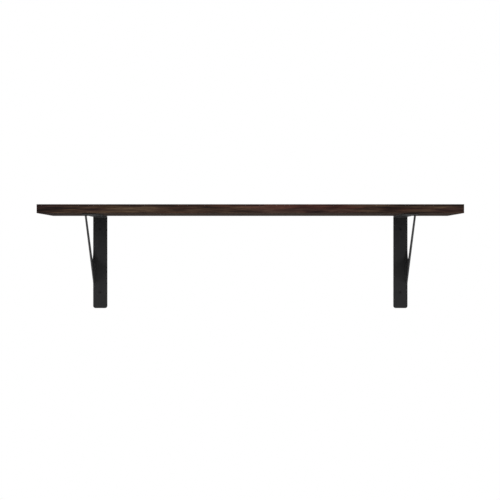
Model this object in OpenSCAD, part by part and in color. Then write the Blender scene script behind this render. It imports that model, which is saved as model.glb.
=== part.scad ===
// Wall shelf: a veneered board carried by two welded L brackets with diagonal stays.
// Frame: X runs along the shelf, +Y points into the wall, +Z points up.
// The wall's surface is Y = 0, and the origin is the centre of the four wall screws.

/* [Board] */
// Length of the board along X
board_length = 1200; // [1100:10:1600]
// Depth of the board, from the wall to its front edge
board_depth = 300; // [290:5:400]
// Thickness of the board with its veneers
board_thickness = 25; // [22:1:38]
// Thickness of each face veneer
veneer = 0.8; // [0.5:0.1:1.5]
// Thickness of each edge band
edge_band = 1; // [0.5:0.5:2]

/* [Bracket strips] */
// Distance between the centres of the two brackets
bracket_spacing = 912; // [600:2:1000]
// Length of each leg, measured from the corner's outside
leg_length = 280; // [270:2:290]
// Width of the flat strip
strip_width = 43; // [36:1:50]
// Thickness of the flat strip
strip_thickness = 3; // [2.5:0.5:3]
// Inside radius of the bend
bend_radius = 3; // [2:0.5:6]
// Radius of the corners at the end of each leg
leg_corner_radius = 7; // [3:0.5:12]

/* [Stays] */
// Distance from the corner to the stay's front edge, along either leg
stay_reach = 208; // [200:1:220]
// Distance from the corner to the stay's back edge, along the arm
stay_back_on_arm = 191; // [180:1:194]
// Distance from the corner to the stay's back edge, along the wall leg
stay_back_on_wall = 178; // [170:1:186]
// Thickness of the stay's flat bar
stay_thickness = 4; // [2:0.5:5]
// Radius of the fillet where the stay widens into its foot on the wall leg
stay_root_radius = 30; // [20:1:36]
// Height of the blunt ends of the stay
stay_blunt = 1.5; // [1:0.25:2.5]

/* [Welds] */
// Leg length of the fillet welds
weld_size = 3; // [2:0.5:4]
// Length of the bead on each wall leg
wall_weld_length = 52; // [30:1:60]
// Distance from the corner to the middle of the bead on a wall leg
wall_weld_middle = 168; // [150:1:170]
// Length of the bead on each arm
arm_weld_length = 16; // [8:1:16]
// Distance from the corner to the middle of the bead on an arm
arm_weld_middle = 196; // [190:1:198]

/* [Screws] */
// Diameter of every screw's shank
screw_diameter = 6; // [5:0.5:6]
// Diameter of the countersunk head's theoretical sharp edge
head_diameter = 12; // [11.5:0.5:12]
// How far a head sits below the strip's face
head_sink = 0.1; // [0.05:0.05:0.2]
// Height of the thin rim around a head
head_rim = 0.2; // [0.1:0.05:0.3]
// Length of the wall screws
wall_screw_length = 50; // [40:5:70]
// Length of the shelf screws
shelf_screw_length = 20; // [16:1:20]
// Share of a screw's length that carries thread
thread_share = 0.64; // [0.5:0.02:0.7]
// Distance from one thread ridge to the next
thread_pitch = 2.6; // [2:0.1:3]
// Depth of the thread
thread_depth = 0.9; // [0.5:0.1:1.2]
// Share of the pitch at which the thread's groove is deepest
groove_place = 0.4; // [0.3:0.1:0.6]
// Length of a screw's point
point_length = 4; // [3:0.5:5]
// Distance from the corner to the first hole, along either leg
first_hole = 40; // [35:1:50]
// Distance between the two holes of one leg
hole_spacing = 192; // [190:1:205]

/* [Cross recess] */
// Length of the recess's arms from tip to tip
recess_span = 6; // [5:0.5:7]
// Width of the recess's arms
recess_slot = 1.2; // [1:0.1:1.6]
// Depth of the recess's arms
recess_depth = 2; // [1:0.1:2.4]
// Radius of the cone at the recess's centre
recess_cone_radius = 1.6; // [1:0.1:2]
// How far the cone reaches below the arms of the recess
recess_cone_extra = 0.5; // [0.2:0.1:0.6]

/* [Hidden] */
$fn = 96;

wood = [0.20, 0.15, 0.12];
particleboard = [0.62, 0.50, 0.36];
black_steel = [0.07, 0.07, 0.08];
black_zinc = [0.10, 0.10, 0.11];

// How far a cutter runs past the face that it opens
past = 1;
// Heights above the origin
underside = first_hole + hole_spacing / 2;
board_top = underside + board_thickness;
// Sizes of the panel inside the edge bands
panel_length = board_length - 2 * edge_band;
panel_depth = board_depth - 2 * edge_band;
core_thickness = board_thickness - 2 * veneer;
// Sides of the board and places of the brackets, as signs along X
left = -1;
right = 1;
// Distance from the corner to the last hole of a leg
last_hole = first_hole + hole_spacing;
shank_radius = screw_diameter / 2;
head_radius = head_diameter / 2;
// Outside radius of the bend
bend_outside = bend_radius + strip_thickness;
// The far tips of the stay along either leg, above their blunt ends
stay_tip = stay_reach - strip_thickness - stay_blunt;
// The steepness of the stay's back edge, as one over its distance from the corner
back_steepness = norm([1 / stay_back_on_arm, 1 / stay_back_on_wall]);
// The centre of the root fillet, which touches the back edge and ends just in front of the wall leg
root_forward = strip_thickness + stay_blunt + stay_root_radius;
root_down = stay_back_on_wall
  * (1 - root_forward / stay_back_on_arm - stay_root_radius * back_steepness);
// How far forward of its centre, and below it, the fillet touches the back edge
touch_forward = stay_root_radius / stay_back_on_arm / back_steepness;
touch_down = stay_root_radius / stay_back_on_wall / back_steepness;

// Puts a bracket's piece, drawn with its corner at the origin, at the left or right of the shelf.
module at_bracket(side) {
  translate([side * bracket_spacing / 2, 0, underside])
    mirror([side == right ? 1 : 0, 0, 0])
      children();
}

// Turns a drawing of one leg, made along the arm, into the other leg.
module swap_legs() {
  mirror([0, 1, -1]) children();
}

// Extrudes a profile drawn in Y and Z along X.
module along_x(start, width) {
  translate([start, 0, 0]) rotate([90, 0, 90]) linear_extrude(width) children();
}

// A strip's leg with round corners, lying under the board and running forwards from the bend.
module arm_plate() {
  half = strip_width / 2;
  corner = half - leg_corner_radius;
  body = leg_length - bend_outside - leg_corner_radius;
  translate([-half, -bend_outside - body, -strip_thickness])
    cube([strip_width, body, strip_thickness]);
  translate([-corner, -leg_length, -strip_thickness])
    cube([2 * corner, leg_length - bend_outside, strip_thickness]);
  for (side = [left, right])
    translate([side * corner, leg_corner_radius - leg_length, -strip_thickness])
      cylinder(r = leg_corner_radius, h = strip_thickness);
}

// The quarter tube that joins the two legs.
module bend() {
  intersection() {
    translate([-strip_width / 2, -bend_outside, -bend_outside]) rotate([0, 90, 0])
      difference() {
        cylinder(r = bend_outside, h = strip_width);
        translate([0, 0, -past]) cylinder(r = bend_radius, h = strip_width + 2 * past);
      }
    translate([-strip_width / 2, -bend_outside, -bend_outside])
      cube([strip_width, bend_outside, bend_outside]);
  }
}

// The countersinks through the arm, open towards the floor.
module arm_countersinks() {
  wide = head_radius + head_sink + past;
  for (distance = [first_hole, last_hole])
    translate([0, -distance, -strip_thickness - past])
      cylinder(r1 = wide, r2 = wide - strip_thickness - 2 * past, h = strip_thickness + 2 * past);
}

module bracket_strip(side) {
  color(black_steel)
    at_bracket(side)
      difference() {
        union() {
          arm_plate();
          swap_legs() arm_plate();
          bend();
        }
        arm_countersinks();
        swap_legs() arm_countersinks();
      }
}

// The stay's outline before its window is cut: a triangle with blunt tips between the two legs.
module stay_outline() {
  inner = -strip_thickness;
  blunt = inner - stay_blunt;
  polygon([
    [inner, inner], [inner, -stay_tip], [blunt, -stay_tip],
    [-stay_tip, blunt], [-stay_tip, inner]
  ]);
}

// The window behind the stay, without the round end that the root fillet gives it.
module stay_window() {
  blunt = -strip_thickness - stay_blunt;
  polygon([
    [0, 0], [0, -root_down], [blunt, -root_down],
    [-root_forward - touch_forward, -root_down - touch_down],
    [-stay_back_on_arm, 0]
  ]);
}

// A flat bar that fills the stay's outline in front of its window.
module stay(side) {
  start = -strip_width / 2;
  cut_start = start - past;
  cut_width = stay_thickness + 2 * past;
  color(black_steel)
    at_bracket(side)
      difference() {
        along_x(start, stay_thickness) stay_outline();
        along_x(cut_start, cut_width) stay_window();
        translate([cut_start, -root_forward, -root_down]) rotate([0, 90, 0])
          cylinder(r = stay_root_radius, h = cut_width);
      }
}

// A quarter-round bead in the corner between the stay's inner side and the arm, with round ends.
module weld_bead(middle, length) {
  start = stay_thickness - strip_width / 2;
  straight = length - 2 * weld_size;
  intersection() {
    translate([start, straight / 2 - middle, -strip_thickness]) {
      rotate([90, 0, 0]) cylinder(r = weld_size, h = straight);
      sphere(r = weld_size);
      translate([0, -straight, 0]) sphere(r = weld_size);
    }
    translate([start, -middle - length / 2, -strip_thickness - weld_size])
      cube([weld_size, length, weld_size]);
  }
}

module arm_weld(side) {
  color(black_steel) at_bracket(side) weld_bead(arm_weld_middle, arm_weld_length);
}

module wall_weld(side) {
  color(black_steel) at_bracket(side) swap_legs() weld_bead(wall_weld_middle, wall_weld_length);
}

// Half of a screw's outline, from the top of its head at the origin down to its point.
function screw_outline(length) =
  let (
    threads = floor((length * thread_share - point_length) / thread_pitch),
    thread_start = length - point_length - threads * thread_pitch,
    root = shank_radius - thread_depth
  )
  concat(
    [[0, 0], [head_radius - head_rim, 0], [head_radius - head_rim, head_rim]],
    [[shank_radius, head_radius - shank_radius], [shank_radius, thread_start]],
    [for (i = [0 : threads - 1]) each [
      [root, thread_start + (i + groove_place) * thread_pitch],
      [shank_radius, thread_start + (i + 1) * thread_pitch]
    ]],
    [[0, length]]
  );

// A screw without its recess, also used to cut the hole that it has made in the wood.
module screw_blank(length) {
  rotate_extrude() polygon(screw_outline(length));
}

module cross_recess() {
  for (turn = [0, 90])
    rotate([0, 0, turn])
      translate([-recess_span / 2, -recess_slot / 2, -past])
        cube([recess_span, recess_slot, recess_depth + past]);
  translate([0, 0, -past])
    cylinder(
      r1 = recess_cone_radius,
      r2 = recess_slot / 2,
      h = past + recess_depth + recess_cone_extra
    );
}

module screw(length) {
  difference() {
    screw_blank(length);
    cross_recess();
  }
}

// Puts a screw in the arm's hole at this distance from the corner, pointing up into the board.
module in_arm(distance) {
  translate([0, -distance, head_sink - strip_thickness]) children();
}

module shelf_screw(side, distance) {
  color(black_zinc) at_bracket(side) in_arm(distance) screw(shelf_screw_length);
}

module wall_screw(side, distance) {
  color(black_zinc) at_bracket(side) swap_legs() in_arm(distance) screw(wall_screw_length);
}

// What the four shelf screws take out of the board.
module shelf_screw_holes() {
  for (side = [left, right])
    at_bracket(side)
      for (distance = [first_hole, last_hole])
        in_arm(distance) screw_blank(shelf_screw_length);
}

// A slab of the panel inside the edge bands.
module panel(bottom, thickness) {
  translate([-panel_length / 2, -edge_band - panel_depth, bottom])
    cube([panel_length, panel_depth, thickness]);
}

module board_core() {
  color(particleboard)
    difference() {
      panel(underside + veneer, core_thickness);
      shelf_screw_holes();
    }
}

module top_veneer() {
  color(wood) panel(board_top - veneer, veneer);
}

module bottom_veneer() {
  color(wood)
    difference() {
      panel(underside, veneer);
      shelf_screw_holes();
    }
}

// The long bands cover the ends of the short ones.
module long_edge_band(front_y) {
  color(wood)
    translate([-board_length / 2, front_y, underside])
      cube([board_length, edge_band, board_thickness]);
}

module short_edge_band(left_x) {
  color(wood)
    translate([left_x, -edge_band - panel_depth, underside])
      cube([edge_band, panel_depth, board_thickness]);
}

board_core();
top_veneer();
bottom_veneer();
long_edge_band(-board_depth);  // front_edge_band
long_edge_band(-edge_band);  // back_edge_band
short_edge_band(-board_length / 2);  // left_edge_band
short_edge_band(panel_length / 2);  // right_edge_band
bracket_strip(left);  // left_bracket_strip
bracket_strip(right);  // right_bracket_strip
stay(left);  // left_stay
stay(right);  // right_stay
wall_weld(left);  // left_wall_weld
arm_weld(left);  // left_arm_weld
wall_weld(right);  // right_wall_weld
arm_weld(right);  // right_arm_weld
wall_screw(left, first_hole);  // left_upper_wall_screw
wall_screw(left, last_hole);  // left_lower_wall_screw
wall_screw(right, first_hole);  // right_upper_wall_screw
wall_screw(right, last_hole);  // right_lower_wall_screw
shelf_screw(left, last_hole);  // left_front_shelf_screw
shelf_screw(left, first_hole);  // left_back_shelf_screw
shelf_screw(right, last_hole);  // right_front_shelf_screw
shelf_screw(right, first_hole);  // right_back_shelf_screw
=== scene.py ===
"""Wall shelf: a dark veneered board on two black steel brackets, in a plain pale studio.

Lengths are metres in the row frame: +X right, +Y into the wall, +Z up.
"""

import math
from typing import NamedTuple

import bmesh
import bpy
from mathutils import Matrix, Vector, noise


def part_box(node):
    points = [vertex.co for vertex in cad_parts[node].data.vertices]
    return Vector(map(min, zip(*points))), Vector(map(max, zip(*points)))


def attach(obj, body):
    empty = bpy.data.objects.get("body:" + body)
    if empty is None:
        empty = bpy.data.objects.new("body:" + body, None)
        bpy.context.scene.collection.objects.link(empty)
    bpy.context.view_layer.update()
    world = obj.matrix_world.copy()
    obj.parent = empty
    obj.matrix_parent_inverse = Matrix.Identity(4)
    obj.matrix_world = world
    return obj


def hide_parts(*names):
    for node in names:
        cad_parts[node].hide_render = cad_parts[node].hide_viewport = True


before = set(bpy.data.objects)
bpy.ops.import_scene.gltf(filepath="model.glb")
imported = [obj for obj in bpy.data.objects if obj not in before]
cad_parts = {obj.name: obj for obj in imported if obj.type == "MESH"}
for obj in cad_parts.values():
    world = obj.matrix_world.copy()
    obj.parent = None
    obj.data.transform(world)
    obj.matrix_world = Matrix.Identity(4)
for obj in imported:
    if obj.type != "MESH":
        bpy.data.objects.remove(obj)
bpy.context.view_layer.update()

MM = 0.001
AXES = "XYZ"

# Softened edges, and how far apart the doubled points of a CAD seam may be.
STEEL_EDGE = 0.35 * MM
BOARD_EDGE = 0.22 * MM
CORE_EDGE = 0.055 * MM
EDGE_SEGMENTS = 2
EDGE_ANGLE = math.radians(40.0)
SEAM = 0.002 * MM
# Faces that meet at more than this angle are shaded as a sharp edge.
SHARP_ANGLE = math.radians(32.0)


# ---------------------------------------------------------------- shader nodes

# The Mix node has inputs and outputs for every kind of data: these are for colours.
MIX_FACTOR, MIX_FIRST, MIX_SECOND = 0, 6, 7
MIX_RESULT = 2


def colour(red, green, blue):
    return (red, green, blue, 1.0)


class Layer(NamedTuple):
    """Soft noise: its cells per metre along and across the grain, and how fine it is."""

    along: float
    across: float
    detail: float = 2.0
    roughness: float = 0.5


class Shader:
    """A new material, with short calls that add linked nodes to it."""

    def __init__(self, name):
        self.material = bpy.data.materials.new(name)
        self.material.use_nodes = True
        self.tree = self.material.node_tree
        self.surface = self.tree.nodes["Principled BSDF"]

    def add(self, kind, inputs, **settings):
        node = self.tree.nodes.new("ShaderNode" + kind)
        for key, value in settings.items():
            setattr(node, key, value)
        for key, value in inputs.items():
            self.fill(node.inputs[key], value)
        return node

    def fill(self, socket, value):
        if isinstance(value, bpy.types.NodeSocket):
            self.tree.links.new(value, socket)
        else:
            socket.default_value = value

    def finish(self, specular, **inputs):
        """Sets the surface's inputs (base_color stands for Base Color) and its reflection."""
        for key, value in inputs.items():
            self.fill(self.surface.inputs[key.replace("_", " ").title()], value)
        self.surface.inputs["Specular IOR Level"].default_value = specular
        return self.material

    def place(self):
        return self.add("TexCoord", {}).outputs["Object"]

    def split(self, vector):
        return self.add("SeparateXYZ", {0: vector}).outputs

    def math(self, operation, first, second=0.0):
        return self.add("Math", {0: first, 1: second}, operation=operation).outputs[0]

    def plus(self, first, second):
        return self.math("ADD", first, second)

    def minus(self, first, second):
        return self.math("SUBTRACT", first, second)

    def times(self, first, second):
        return self.math("MULTIPLY", first, second)

    def grain_place(self, along, across, offset):
        """Object coordinates in the grain's order: along it, across it, into the wood."""
        parts = self.split(self.place())
        into = (set(AXES) - {along, across}).pop()
        turned = self.add("CombineXYZ", {0: parts[along], 1: parts[across], 2: parts[into]})
        return self.add("VectorMath", {0: turned.outputs[0], 1: offset}, operation="ADD").outputs[0]

    def noise(self, place, cells, detail, roughness):
        """Soft noise from 0 to 1, with so many cells per metre on each axis."""
        scaled = self.add("VectorMath", {0: place, 1: cells}, operation="MULTIPLY").outputs[0]
        inputs = {"Vector": scaled, "Scale": 1.0, "Detail": detail, "Roughness": roughness}
        return self.add("TexNoise", inputs).outputs["Fac"]

    def layer(self, place, layer, run=1.0):
        """A layer of noise whose cells are run times as short along the grain."""
        cells = (layer.along * run, layer.across, layer.across)
        return self.noise(place, cells, layer.detail, layer.roughness)

    def span(self, value, low, high, to_low=0.0, to_high=1.0):
        """Maps low..high to to_low..to_high with soft ends, clamped."""
        inputs = {
            "Value": value,
            "From Min": low,
            "From Max": high,
            "To Min": to_low,
            "To Max": to_high,
        }
        return self.add("MapRange", inputs, interpolation_type="SMOOTHSTEP").outputs[0]

    def mix(self, factor, first, second, blend="MIX"):
        node = self.add("Mix", {}, data_type="RGBA", blend_type=blend, clamp_factor=True)
        self.fill(node.inputs[MIX_FACTOR], factor)
        self.fill(node.inputs[MIX_FIRST], first)
        self.fill(node.inputs[MIX_SECOND], second)
        return node.outputs[MIX_RESULT]

    def ramp(self, factor, stops):
        """Colours picked along a ramp of (position, colour) stops."""
        node = self.add("ValToRGB", {0: factor})
        points = node.color_ramp.elements
        while len(points) < len(stops):
            points.new(0.5)
        for point, (position, shade) in zip(points, stops):
            point.position = position
            point.color = shade
        return node.outputs[0]

    def bump(self, height, distance, strength):
        inputs = {"Height": height, "Distance": distance, "Strength": strength}
        return self.add("Bump", inputs).outputs[0]

    def edges(self, radius):
        """1 on edges sharper than the radius, 0 on flat faces."""
        rounded = self.add("Bevel", {"Radius": radius}, samples=6).outputs[0]
        plain = self.add("NewGeometry", {}).outputs["Normal"]
        turned = self.add("VectorMath", {0: rounded, 1: plain}, operation="DOT_PRODUCT")
        return self.span(turned.outputs["Value"], 0.995, 0.9)


# ------------------------------------------------------------------------ wood

WOOD_TONES = (
    (0.0, colour(0.0052, 0.0032, 0.0026)),
    (0.28, colour(0.0138, 0.0077, 0.0060)),
    (0.50, colour(0.0305, 0.0163, 0.0112)),
    (0.75, colour(0.0530, 0.0315, 0.0196)),
    (1.0, colour(0.0860, 0.0570, 0.0345)),
)
WOOD_MIDDLE = 0.55
WOOD_RED = colour(0.66, 0.42, 0.40)
WOOD_OLIVE = colour(0.54, 0.53, 0.42)
WOOD_PURPLE = colour(0.46, 0.40, 0.50)
WOOD_WORN = colour(0.1150, 0.0780, 0.0540)
WOOD_REFLECTION = 0.16
WORN_EDGE = 0.4 * MM

PATCHES = Layer(4.2, 42.0, 3.0, 0.6)
STREAKS = Layer(13.0, 190.0, 4.0, 0.62)
LINES = Layer(9.0, 700.0, 3.0, 0.6)
FIBRES = Layer(22.0, 2600.0, 2.0, 0.6)
PORES = Layer(85.0, 2400.0, 1.0, 0.4)
WARM_ZONES = Layer(2.6, 36.0, 3.0, 0.6)
COOL_ZONES = Layer(3.1, 21.0)

# How much each layer moves the tone, and how deep the rings and pores are cut.
PATCH_GAIN = 0.9
STREAK_GAIN = 1.7
LINE_GAIN = 1.0
FIBRE_GAIN = 0.5
FIGURE_LIFT = 0.3
PORE_TONE = 0.45
RELIEF = 0.09 * MM

RINGS_PER_METRE = 210.0
RING_WANDER = Layer(1.6, 7.0)
RING_WANDER_REACH = 0.11
RING_WAVES = Layer(2.4, 34.0)
RING_WAVE_REACH = 3.5 * MM
YEARS = Layer(55.0, 1.0)
YEAR_REACH = 18.0 * MM
LATE_WOOD = Layer(130.0, 1.0)

# Painted shade darkens the edge bands this far down from the front band's upper edge, and the stain
# is darker this far in from the board's ends.
RIM_SHADE_REACH = 5.5 * MM
RIM_SHADE_FULL = 1.5 * MM
LEFT_REACH = 85.0 * MM
LEFT_FULL = 25.0 * MM
RIGHT_REACH = 110.0 * MM
RIGHT_FULL = 50.0 * MM
RIGHT_SHARE = 0.2
END_TONE = 0.14
END_PURPLE = 0.55


class Cut(NamedTuple):
    """How a sheet of wood is cut from the log, how it is finished, and how much painted shade it
    gets.
    """

    along: str  # axis along the grain
    across: str  # axis across the grain
    offset: tuple  # its place in the noise
    ring_depth: float  # distance from the middle of the log
    taper: float  # how fast that distance changes along the grain
    run: float  # how short its patches and streaks are
    figure: float  # how strongly its rings show
    matte: float  # its lowest roughness
    shade: float  # painted shade: how much darker it is painted than the front's, for the shade under the board


SHEETS = {
    "top_veneer": Cut("X", "Y", (0.31, 0.13, 0.0), 0.05, 0.055, 0.4, 0.32, 0.46, 0.0),
    # The bottom veneer's last number is painted shade, for the shade under the board.
    "bottom_veneer": Cut("X", "Y", (4.70, 0.19, 0.0), -0.16, 0.05, 0.4, 0.32, 0.85, 0.05),
    "front_edge_band": Cut("X", "Z", (340.74, -0.20, 2.223), 0.03, 0.004, 1.0, 0.17, 0.50, 0.0),
    "back_edge_band": Cut("X", "Z", (7.10, -0.21, 0.0), 0.02, 0.005, 1.0, 0.17, 0.50, 0.0),
    "left_edge_band": Cut("Y", "Z", (9.30, -0.18, 0.0), 0.03, 0.006, 1.0, 0.17, 0.50, 0.0),
    "right_edge_band": Cut("Y", "Z", (11.6, -0.22, 0.0), 0.02, 0.004, 1.0, 0.17, 0.50, 0.0),
}


def growth_rings(wood, place, cut):
    """How far each point is through its year's ring, and how dark its late wood is."""
    parts = wood.split(place)
    wander = wood.minus(wood.layer(place, RING_WANDER), 0.5)
    side = wood.plus(parts[1], wood.times(wander, RING_WANDER_REACH))
    depth = wood.plus(wood.times(parts[0], cut.taper), cut.ring_depth)
    squares = wood.plus(wood.times(side, side), wood.times(depth, depth))
    waves = wood.times(wood.layer(place, RING_WAVES), RING_WAVE_REACH)
    reach = wood.plus(wood.math("SQRT", squares), waves)
    year = wood.add("CombineXYZ", {0: reach}).outputs[0]
    growth = wood.times(wood.layer(year, YEARS), YEAR_REACH)
    turn = wood.math("FRACT", wood.times(wood.plus(reach, growth), RINGS_PER_METRE))
    late = wood.times(wood.span(turn, 0.15, 0.9), wood.span(turn, 1.0, 0.9))
    strength = wood.span(wood.layer(year, LATE_WOOD), 0.3, 0.65, 0.35, 1.0)
    return turn, wood.times(late, strength)


def painted_rim_shade(wood, streak):
    """Painted shade: how much darker an edge band is painted along its upper edge."""
    height = wood.split(wood.place())["Z"]
    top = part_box("front_edge_band")[1][2]
    near = wood.span(height, top - RIM_SHADE_REACH, top - RIM_SHADE_FULL)
    return wood.times(near, wood.span(streak, 0.62, 0.40, 0.08, 0.34))


def dark_ends(wood, patch):
    """How near the board's ends a point is, where the stain is darker, most on the left."""
    along = wood.split(wood.place())["X"]
    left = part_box("left_edge_band")[0][0]
    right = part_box("right_edge_band")[1][0]
    near_left = wood.span(along, left + LEFT_REACH, left + LEFT_FULL)
    near_right = wood.span(along, right - RIGHT_REACH, right - RIGHT_FULL, 0.0, RIGHT_SHARE)
    near = wood.plus(near_left, near_right)
    return wood.times(near, wood.span(patch, 0.75, 0.35, 0.5, 1.0))


def tinted(wood, stain, place, end, run):
    """The stain with its red, olive and purple zones."""
    tint = 0.35 + 0.4 * run
    warm = wood.layer(place, WARM_ZONES, run)
    stain = wood.mix(wood.span(warm, 0.50, 0.64, 0.0, tint), stain, WOOD_RED, "SOFT_LIGHT")
    stain = wood.mix(wood.span(warm, 0.47, 0.36, 0.0, tint), stain, WOOD_OLIVE, "SOFT_LIGHT")
    cool = wood.layer(place, COOL_ZONES, run)
    stain = wood.mix(wood.span(cool, 0.56, 0.66, 0.0, tint), stain, WOOD_PURPLE, "SOFT_LIGHT")
    return wood.mix(wood.times(end, END_PURPLE), stain, WOOD_PURPLE, "SOFT_LIGHT")


def dark_wood(name, cut):
    """Stained wood under a thin satin lacquer, with growth rings, fibres and open pores, and
    painted shade along the edge bands' upper edge and on the bottom veneer.
    """
    wood = Shader(name)
    place = wood.grain_place(cut.along, cut.across, cut.offset)
    turn, late = growth_rings(wood, place, cut)
    patch = wood.layer(place, PATCHES, cut.run)
    streak = wood.layer(place, STREAKS, cut.run)
    line = wood.layer(place, LINES, cut.run)
    fibre = wood.layer(place, FIBRES)
    dashes = wood.layer(place, PORES)
    pore = wood.times(wood.span(dashes, 0.64, 0.72), wood.span(turn, 0.85, 0.25, 0.25))
    end = dark_ends(wood, patch)

    gains = (
        (patch, PATCH_GAIN * cut.run),
        (streak, STREAK_GAIN),
        (line, LINE_GAIN),
        (fibre, FIBRE_GAIN),
    )
    # cut.shade is painted shade, darkening the bottom veneer for the shade under the board.
    tone = WOOD_MIDDLE + cut.figure * FIGURE_LIFT - cut.shade
    for layer, gain in gains:
        tone = wood.plus(tone, wood.times(wood.minus(layer, 0.5), gain))
    tone = wood.minus(tone, wood.times(late, cut.figure))
    tone = wood.minus(tone, wood.times(pore, PORE_TONE))
    # Painted shade along the edge bands' upper edge.
    if cut.across == "Z":
        tone = wood.minus(tone, painted_rim_shade(wood, streak))
    tone = wood.minus(tone, wood.times(end, END_TONE))

    # This colour also carries the painted shade worked into tone above.
    stain = tinted(wood, wood.ramp(tone, WOOD_TONES), place, end, cut.run)
    worn = wood.times(wood.edges(WORN_EDGE), wood.span(patch, 0.5, 0.7, 0.05, 0.5))
    gloss = wood.span(streak, 0.3, 0.7, cut.matte, cut.matte + 0.1)
    relief = wood.minus(wood.times(fibre, 0.35), pore)
    relief = wood.minus(relief, wood.times(late, 0.15))
    return wood.finish(
        WOOD_REFLECTION,
        base_color=wood.mix(worn, stain, WOOD_WORN),
        roughness=wood.plus(gloss, wood.times(pore, 0.25)),
        normal=wood.bump(relief, RELIEF, 0.8),
    )


CHIPS_PER_METRE = 420.0
CHIP_FIBRES = (2600.0, 900.0, 2600.0)
CHIP_DARK = colour(0.30, 0.18, 0.09)
CHIP_PALE = colour(0.50, 0.34, 0.19)
CHIP_FIBRE = colour(0.22, 0.13, 0.065)
CHIP_SEAM = colour(0.12, 0.07, 0.035)


def particleboard():
    """Pressed wood chips in glue."""
    board = Shader("pressed_chips")
    place = board.place()
    cells = {"Vector": place, "Scale": CHIPS_PER_METRE}
    chips = board.add("TexVoronoi", cells).outputs["Color"]
    seams = board.add("TexVoronoi", cells, feature="DISTANCE_TO_EDGE").outputs["Distance"]
    shade = board.add("SeparateColor", {0: chips}).outputs[0]
    fine = board.noise(place, CHIP_FIBRES, 3.0, 0.5)
    tone = board.mix(shade, CHIP_DARK, CHIP_PALE)
    tone = board.mix(board.times(fine, 0.5), tone, CHIP_FIBRE)
    tone = board.mix(board.span(seams, 0.06, 0.0, 0.0, 0.7), tone, CHIP_SEAM)
    relief = board.plus(shade, board.span(seams, 0.0, 0.1))
    return board.finish(
        0.5,
        base_color=tone,
        roughness=board.span(fine, 0.2, 0.8, 0.75, 0.95),
        normal=board.bump(relief, 0.12 * MM, 0.7),
    )


# ----------------------------------------------------------------------- steel

COAT_CLOUDS = Layer(26.0, 26.0, 4.0, 0.6)
COAT_PEBBLES = Layer(1500.0, 1500.0)
COAT_SWELLS = Layer(330.0, 330.0)
COAT_DUST = Layer(5200.0, 5200.0, 1.0)
COAT_DARK = colour(0.0125, 0.0127, 0.0135)
COAT_PALE = colour(0.0195, 0.0196, 0.0205)
COAT_DUSTY = colour(0.045, 0.045, 0.046)
COAT_RUBBED = colour(0.045, 0.044, 0.043)

ZINC_CLOUDS = Layer(240.0, 240.0, 4.0, 0.6)
ZINC_GRAIN = Layer(4200.0, 4200.0)
ZINC_DARK = colour(0.010, 0.010, 0.011)
ZINC_PALE = colour(0.026, 0.025, 0.027)
ZINC_RUBBED = colour(0.120, 0.118, 0.115)


def powder_coat():
    """Black powder coat: a fine pebbled skin, cloudy gloss, and rubbed edges."""
    coat = Shader("black_powder_coat")
    place = coat.place()
    cloud = coat.layer(place, COAT_CLOUDS)
    pebble = coat.layer(place, COAT_PEBBLES)
    swell = coat.layer(place, COAT_SWELLS)
    dust = coat.layer(place, COAT_DUST)
    rubbed = coat.times(coat.edges(0.5 * MM), coat.span(cloud, 0.5, 0.7, 0.0, 0.5))
    tone = coat.mix(cloud, COAT_DARK, COAT_PALE)
    tone = coat.mix(coat.span(dust, 0.68, 0.8, 0.0, 0.35), tone, COAT_DUSTY)
    tone = coat.mix(rubbed, tone, COAT_RUBBED)
    height = coat.plus(pebble, coat.times(swell, 0.7))
    return coat.finish(
        0.5,
        base_color=tone,
        roughness=coat.span(cloud, 0.3, 0.7, 0.40, 0.50),
        normal=coat.bump(height, 0.1 * MM, 0.8),
    )


def black_zinc():
    """Black zinc on steel: dark, slightly shiny, and brighter on rubbed edges."""
    zinc = Shader("black_zinc")
    place = zinc.place()
    cloud = zinc.layer(place, ZINC_CLOUDS)
    fine = zinc.layer(place, ZINC_GRAIN)
    rubbed = zinc.times(zinc.edges(0.18 * MM), zinc.span(cloud, 0.4, 0.65, 0.15, 0.8))
    tone = zinc.mix(cloud, ZINC_DARK, ZINC_PALE)
    return zinc.finish(
        0.4,
        base_color=zinc.mix(rubbed, tone, ZINC_RUBBED),
        roughness=zinc.span(cloud, 0.3, 0.7, 0.32, 0.48),
        metallic=zinc.span(rubbed, 0.1, 0.7, 0.15, 0.9),
        normal=zinc.bump(fine, 0.02 * MM, 0.6),
    )


# ---------------------------------------------------------------------- meshes


def new_piece(name, mesh, material, node):
    """A finished piece that stands for this CAD node."""
    for face in mesh.faces:
        face.smooth = True
    data = bpy.data.meshes.new(name)
    mesh.to_mesh(data)
    mesh.free()
    data.set_sharp_from_angle(angle=SHARP_ANGLE)
    data.materials.append(material)
    piece = bpy.data.objects.new(name, data)
    bpy.context.scene.collection.objects.link(piece)
    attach(piece, "root")
    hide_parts(node)


def clean(mesh):
    """Joins doubled points and drops faces without area."""
    bmesh.ops.remove_doubles(mesh, verts=mesh.verts, dist=MM / 1000)
    bmesh.ops.dissolve_degenerate(mesh, dist=MM / 1000, edges=mesh.edges)
    bmesh.ops.recalc_face_normals(mesh, faces=mesh.faces)


def bridge(mesh, lower, upper, columns):
    """Faces between two rings of points, from each of these columns to the next."""
    for column in columns:
        after = (column + 1) % len(lower)
        mesh.faces.new((lower[column], lower[after], upper[after], upper[column]))


def soften(node, width, material):
    """Keeps a CAD node, rounds its edges and gives it this material."""
    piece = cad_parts[node]
    piece.data.materials.clear()
    piece.data.materials.append(material)
    seam = piece.modifiers.new("seams", "WELD")
    seam.merge_threshold = SEAM
    edge = piece.modifiers.new("edges", "BEVEL")
    edge.width = width
    edge.segments = EDGE_SEGMENTS
    edge.limit_method = "ANGLE"
    edge.angle_limit = EDGE_ANGLE


# ---------------------------------------------------------------------- screws

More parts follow.
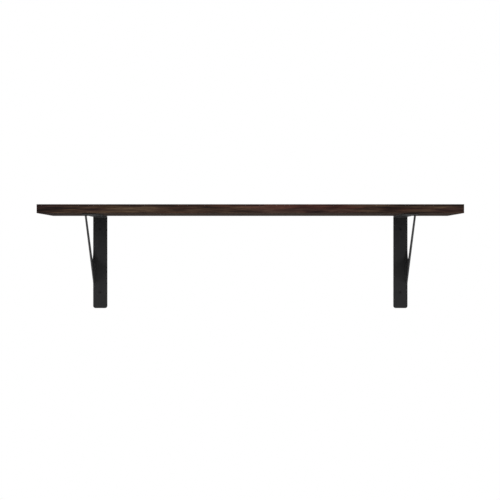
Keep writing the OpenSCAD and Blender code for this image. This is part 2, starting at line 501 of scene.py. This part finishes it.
# A countersunk wood screw with a cross recess.
SCREW_COLUMNS = 48
SHANK_RADIUS = 3.0 * MM
HEAD_RIM = 0.2 * MM
RIM_ROUND = 0.12 * MM
RIM_BEND = 0.3
NECK_FLARE = 0.25 * MM
NECK_RUN = 0.15 * MM
FACE_RING = 0.62

RECESS_REACH = 3.0 * MM
RECESS_SLOT = 1.2 * MM
RECESS_CONE = 1.6 * MM
RECESS_DEPTH = 2.0 * MM
RECESS_PIT = 1.08
RECESS_LIP = 0.04 * MM
RECESS_LEVELS = (1.0, 0.5, 0.06)
# What share of its size the recess's arms and cone have lost at its bottom.
ARM_TAPER = 0.42
CONE_TAPER = 0.75

THREAD_SHARE = 0.64
THREAD_PITCH = 2.6 * MM
THREAD_DEPTH = 0.9 * MM
POINT_LENGTH = 4.0 * MM
RUNOUT = 1.6 * MM
# One turn of thread: how far along the pitch, and how high between root and crest.
THREAD_PROFILE = ((0.0, 0.0), (0.3, 0.0), (0.6, 0.0), (0.76, 1.0), (0.84, 1.0))


def recess_reach(angle, arm, cone):
    """Distance from the axis to the cross recess's wall in this direction."""
    turn = abs((angle + math.pi / 4) % (math.pi / 2) - math.pi / 4)
    half = RECESS_SLOT / 2
    corner = math.atan2(half, arm)
    reach = arm / math.cos(turn) if turn < corner else half / math.sin(turn)
    return max(reach, cone)


def screw_angles():
    """Even columns, plus one at each corner of the cross recess."""
    corner = math.atan2(RECESS_SLOT / 2, RECESS_REACH)
    angles = [2 * math.pi * i / SCREW_COLUMNS for i in range(SCREW_COLUMNS)]
    for quarter in range(4):
        angles += [quarter * math.pi / 2 + side * corner for side in (-1, 1)]
    return sorted(angle % (2 * math.pi) for angle in angles)


def ring(mesh, angles, radius_at, z):
    points = []
    for angle in angles:
        radius = radius_at(angle)
        point = (radius * math.cos(angle), radius * math.sin(angle), z)
        points.append(mesh.verts.new(point))
    return points


def head_rings(mesh, angles, head_radius, neck, thread_start):
    """Rings from the bottom of the recess, over the head and down the plain shank."""

    def plain(radius, z):
        return ring(mesh, angles, lambda angle: radius, z)

    def recess(level):
        arm = RECESS_REACH * (1 - ARM_TAPER * level)
        cone = RECESS_CONE * (1 - CONE_TAPER * level)
        depth = RECESS_DEPTH * level
        return ring(mesh, angles, lambda angle: recess_reach(angle, arm, cone), depth)

    def lip(angle):
        return recess_reach(angle, RECESS_REACH, RECESS_CONE) + RECESS_LIP

    return [
        plain(0.0, RECESS_DEPTH * RECESS_PIT),
        *(recess(level) for level in RECESS_LEVELS),
        ring(mesh, angles, lip, 0.0),
        plain(head_radius * FACE_RING, 0.0),
        plain(head_radius - RIM_ROUND, 0.0),
        plain(head_radius - RIM_ROUND * RIM_BEND, RIM_ROUND * RIM_BEND),
        plain(head_radius, RIM_ROUND),
        plain(head_radius, HEAD_RIM),
        plain(SHANK_RADIUS + NECK_FLARE, neck - NECK_FLARE),
        plain(SHANK_RADIUS, neck + NECK_RUN),
        plain(SHANK_RADIUS, thread_start),
    ]


def thread_rows(mesh, angles, thread_start, length):
    """Rows of points that each climb by one pitch in a turn, kept between the thread's ends."""

    def point(distance, angle, height):
        z = min(max(thread_start + distance, thread_start), length)
        runout = min((z - thread_start) / RUNOUT, 1.0)
        left = min((length - z) / POINT_LENGTH, 1.0)
        crest = SHANK_RADIUS * left
        root = (SHANK_RADIUS - THREAD_DEPTH * runout) * left
        radius = root + (crest - root) * height
        return (radius * math.cos(angle), radius * math.sin(angle), z)

    turns = math.ceil((length - thread_start) / THREAD_PITCH) + 2
    rows = []
    for turn in range(-1, turns):
        for share, height in THREAD_PROFILE:
            row = []
            for angle in angles:
                distance = (turn + share + angle / (2 * math.pi)) * THREAD_PITCH
                row.append(mesh.verts.new(point(distance, angle, height)))
            rows.append(row)
    return rows


def screw_mesh(head_radius, length):
    """A screw along +Z whose head face is at Z = 0 and whose point is at Z = length."""
    angles = screw_angles()
    mesh = bmesh.new()
    neck = HEAD_RIM + head_radius - SHANK_RADIUS
    thread_start = length - (length - neck) * THREAD_SHARE
    rings = head_rings(mesh, angles, head_radius, neck, thread_start)
    rows = thread_rows(mesh, angles, thread_start, length)

    around = range(len(angles))
    for lower, upper in zip(rings, rings[1:]):
        bridge(mesh, lower, upper, around)
    bridge(mesh, rings[-1], rows[0], around)
    # A row's last point joins the first point of the row one turn further on.
    last = len(angles) - 1
    per_turn = len(THREAD_PROFILE)
    for i in range(len(rows) - 1):
        bridge(mesh, rows[i], rows[i + 1], range(last))
        if i + 1 + per_turn < len(rows):
            start, after = rows[i + per_turn][0], rows[i + 1 + per_turn][0]
            mesh.faces.new((rows[i][last], start, after, rows[i + 1][last]))
    clean(mesh)
    return mesh


def screw(node, into, material):
    """The screw that stands for this node, pointing along the axis named by into."""
    low, high = (Vector(corner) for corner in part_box(node))
    axis = AXES.index(into)
    head = (low + high) / 2
    head[axis] = low[axis]
    mesh = screw_mesh((high.x - low.x) / 2, high[axis] - low[axis])
    # The recesses stand at different angles, each taken from its screw's name.
    turn = math.radians(sum(ord(letter) for letter in node) % 90)
    bmesh.ops.rotate(mesh, verts=mesh.verts, matrix=Matrix.Rotation(turn, 3, "Z"))
    if into == "Y":
        bmesh.ops.rotate(mesh, verts=mesh.verts, matrix=Matrix.Rotation(-math.pi / 2, 3, "X"))
    bmesh.ops.translate(mesh, verts=mesh.verts, vec=head)
    new_piece(node + "_threaded", mesh, material, node)


# ----------------------------------------------------------------------- welds

BEAD_STEP = 0.28 * MM
BEAD_COLUMNS = 12
BEAD_END = 2.6 * MM
# How much of the corner's size the bead keeps, and how far it bulges past a flat fillet.
BEAD_SIZE = 0.93
BEAD_FULLNESS = 0.35
RIPPLE_PITCH = 2.1 * MM
RIPPLE_HEIGHT = 0.2 * MM
RIPPLE_BOW = 1.5 * MM
LUMP_LENGTH = 4.0 * MM
LUMP_HEIGHT = 0.06
WALL_BEAD_SEED = 1.0
ARM_BEAD_SEED = 5.0


def bead_radius(size, turn, distance, length, seed):
    """How far the bead's skin is from the corner it fills."""
    flat = size / (math.cos(turn) + math.sin(turn))
    full = flat + (size - flat) * BEAD_FULLNESS
    bow = RIPPLE_BOW * ((turn - math.pi / 4) / (math.pi / 4)) ** 2
    phase = ((distance + bow) / RIPPLE_PITCH) % 1.0
    ripple = RIPPLE_HEIGHT * (1 - phase) ** 2 * math.sin(2 * turn)
    lump = LUMP_HEIGHT * noise.noise(Vector((distance / LUMP_LENGTH, turn, seed)))
    to_end = min(distance, length - distance, BEAD_END)
    end = math.sqrt(max(1 - ((BEAD_END - to_end) / BEAD_END) ** 2, 0.0))
    return (full * (BEAD_SIZE + lump) - ripple) * end


def weld_bead(node, along, down, seed, material):
    """A rippled fillet in the corner between a stay and a strip."""
    low, high = (Vector(corner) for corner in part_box(node))
    run = AXES.index(along)
    drop = AXES.index(down)
    inward = -math.copysign(1, low.x)
    corner = low.copy()
    corner.x = low.x if inward > 0 else high.x
    corner[drop] = high[drop]
    size = high.x - low.x
    length = high[run] - low[run]
    steps = round(length / BEAD_STEP)
    mesh = bmesh.new()
    rings = []
    for step in range(steps + 1):
        distance = length * step / steps
        base = corner.copy()
        base[run] = low[run] + distance
        points = [mesh.verts.new(base)]
        for column in range(BEAD_COLUMNS + 1):
            turn = math.pi / 2 * column / BEAD_COLUMNS
            reach = bead_radius(size, turn, distance, length, seed)
            point = base.copy()
            point.x += inward * reach * math.cos(turn)
            point[drop] -= reach * math.sin(turn)
            points.append(mesh.verts.new(point))
        rings.append(points)
    for lower, upper in zip(rings, rings[1:]):
        bridge(mesh, lower, upper, range(len(lower)))
    clean(mesh)
    new_piece(node + "_bead", mesh, material, node)


# ---------------------------------------------------------------------- pieces


def build_board():
    soften("board_core", CORE_EDGE, particleboard())
    for node, cut in SHEETS.items():
        soften(node, BOARD_EDGE, dark_wood("dark_wood_" + node, cut))


def build_brackets():
    coat = powder_coat()
    zinc = black_zinc()
    for number, side in enumerate(("left", "right")):
        soften(side + "_bracket_strip", STEEL_EDGE, coat)
        soften(side + "_stay", STEEL_EDGE, coat)
        weld_bead(side + "_wall_weld", "Z", "Y", WALL_BEAD_SEED + number, coat)
        weld_bead(side + "_arm_weld", "Y", "Z", ARM_BEAD_SEED + number, coat)
        for level in ("upper", "lower"):
            screw(f"{side}_{level}_wall_screw", "Y", zinc)
        for place in ("front", "back"):
            screw(f"{side}_{place}_shelf_screw", "Z", zinc)


# ---------------------------------------------------------------------- studio

CAMERA_DISTANCE = 3.9
CAMERA_BELOW_BOARD = 0.1035
CAMERA_SIDE = -0.001
CAMERA_LENS = 92.36
CAMERA_SENSOR = 36.0

FLOOR_DROP = 1.25
FLOOR_RADIUS = 2.0
FLOOR_SEGMENTS = 96
FLOOR_COLOUR = colour(0.86, 0.86, 0.85)
# Where the floor starts to fade and where it is gone, as shares of its radius.
FLOOR_FADE = 0.45
FLOOR_GONE = 0.98

WHITE = colour(1.0, 1.0, 1.0)
SOFT_LIGHT = 0.25
# Name, place, diameter in metres, power in watts, and whether reflections show the lamp.
LAMPS = (
    ("key", (-1.8, -2.2, 3.2), 1.8, 85.0, True),
    ("front_left", (-3.0, -2.5, 1.0), 1.6, 76.0, False),
    ("front_right", (3.2, -2.4, 0.7), 1.6, 76.0, False),
    ("back_left", (-2.4, 2.6, 1.5), 1.6, 55.0, False),
    ("back_right", (2.2, 2.8, 1.2), 1.6, 55.0, False),
    ("top", (0.2, 0.3, 2.8), 1.8, 30.0, False),
    ("low", (0.3, -1.0, -1.15), 1.6, 4.0, False),
)


def build_camera():
    data = bpy.data.cameras.new("camera")
    data.lens = CAMERA_LENS
    data.sensor_width = CAMERA_SENSOR
    camera = bpy.data.objects.new("camera", data)
    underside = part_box("bottom_veneer")[0][2]
    camera.location = (CAMERA_SIDE, -CAMERA_DISTANCE, underside - CAMERA_BELOW_BOARD)
    camera.rotation_euler = (math.pi / 2, 0.0, 0.0)
    bpy.context.scene.collection.objects.link(camera)
    bpy.context.scene.camera = camera


def floor_paint():
    """Pale paint that fades out towards the floor's rim and is clear from below."""
    paint = Shader("pale_floor")
    reach = paint.add("VectorMath", {0: paint.place()}, operation="LENGTH").outputs["Value"]
    faded = paint.span(reach, FLOOR_RADIUS * FLOOR_FADE, FLOOR_RADIUS * FLOOR_GONE)
    below = paint.add("NewGeometry", {}).outputs["Backfacing"]
    clear = paint.add("BsdfTransparent", {}).outputs[0]
    paint.finish(0.5, base_color=FLOOR_COLOUR, roughness=0.8)
    sockets = {0: paint.math("MAXIMUM", below, faded), 1: paint.surface.outputs[0], 2: clear}
    blend = paint.add("MixShader", sockets)
    output = paint.tree.nodes["Material Output"]
    paint.tree.links.new(blend.outputs[0], output.inputs["Surface"])
    return paint.material


def build_floor():
    mesh = bmesh.new()
    bmesh.ops.create_circle(mesh, cap_ends=True, segments=FLOOR_SEGMENTS, radius=FLOOR_RADIUS)
    data = bpy.data.meshes.new("floor")
    mesh.to_mesh(data)
    mesh.free()
    data.materials.append(floor_paint())
    floor = bpy.data.objects.new("floor", data)
    floor.location = (0.0, 0.0, -FLOOR_DROP)
    bpy.context.scene.collection.objects.link(floor)


def build_lights():
    for name, place, size, power, mirrored in LAMPS:
        data = bpy.data.lights.new(name, "AREA")
        data.shape = "DISK"
        data.size = size
        data.energy = power
        lamp = bpy.data.objects.new(name, data)
        lamp.location = place
        lamp.rotation_euler = (-Vector(place)).to_track_quat("-Z", "Y").to_euler()
        lamp.visible_glossy = mirrored
        bpy.context.scene.collection.objects.link(lamp)


def build_world():
    """White to the camera, and a dimmer soft light for the object."""
    world = bpy.data.worlds.new("studio")
    bpy.context.scene.world = world
    world.use_nodes = True
    tree = world.node_tree
    tree.nodes.clear()
    ray = tree.nodes.new("ShaderNodeLightPath")
    mix = tree.nodes.new("ShaderNodeMixShader")
    out = tree.nodes.new("ShaderNodeOutputWorld")
    tree.links.new(ray.outputs["Is Camera Ray"], mix.inputs[0])
    for socket, strength in ((1, SOFT_LIGHT), (2, 1.0)):
        light = tree.nodes.new("ShaderNodeBackground")
        light.inputs["Color"].default_value = WHITE
        light.inputs["Strength"].default_value = strength
        tree.links.new(light.outputs[0], mix.inputs[socket])
    tree.links.new(mix.outputs[0], out.inputs["Surface"])


def build_studio():
    bpy.context.scene.view_settings.view_transform = "Standard"
    build_camera()
    build_floor()
    build_lights()
    build_world()


build_board()
build_brackets()
build_studio()
